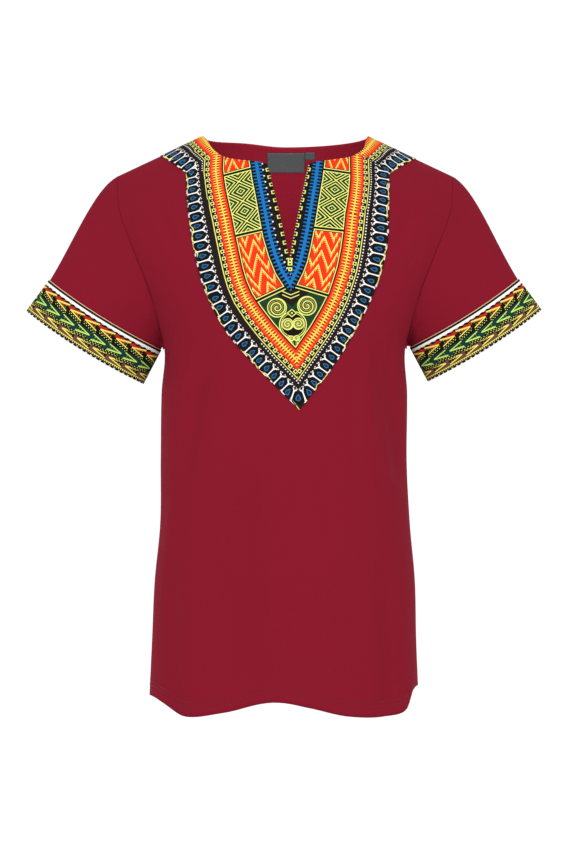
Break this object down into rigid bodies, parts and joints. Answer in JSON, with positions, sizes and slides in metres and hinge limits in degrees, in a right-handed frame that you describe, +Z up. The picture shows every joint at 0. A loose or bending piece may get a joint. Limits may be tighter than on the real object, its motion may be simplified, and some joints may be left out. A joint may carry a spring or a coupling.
{
  "type": "dashiki shirt",
  "caption": "short-sleeved pullover shirt in plain jersey, as worn, with a pointed printed panel round its slit neck and printed bands on its sleeves",
  "frame": {"origin": "midway between the high shoulder points, where the wearer's shoulders carry the shirt", "axes": "front faces -Y, +X is to the right as seen from the front, +Z up"},
  "size_m": [0.6025, 0.2292, 0.6654],
  "materials": {
    "jersey": "fine matt cotton jersey, dark crimson",
    "print": "matt printed cotton, black ground with orange, yellow, blue, green and white bands",
    "label": "woven satin label, dark grey"
  },
  "bodies": {
    "root": {"front": "jersey", "back": "jersey", "sleeve_left": "jersey", "sleeve_right": "jersey", "cuff_left": "print", "cuff_right": "print", "neck_panel": "print", "label": "label", "size_tab": "label"}
  },
  "joints": []
}
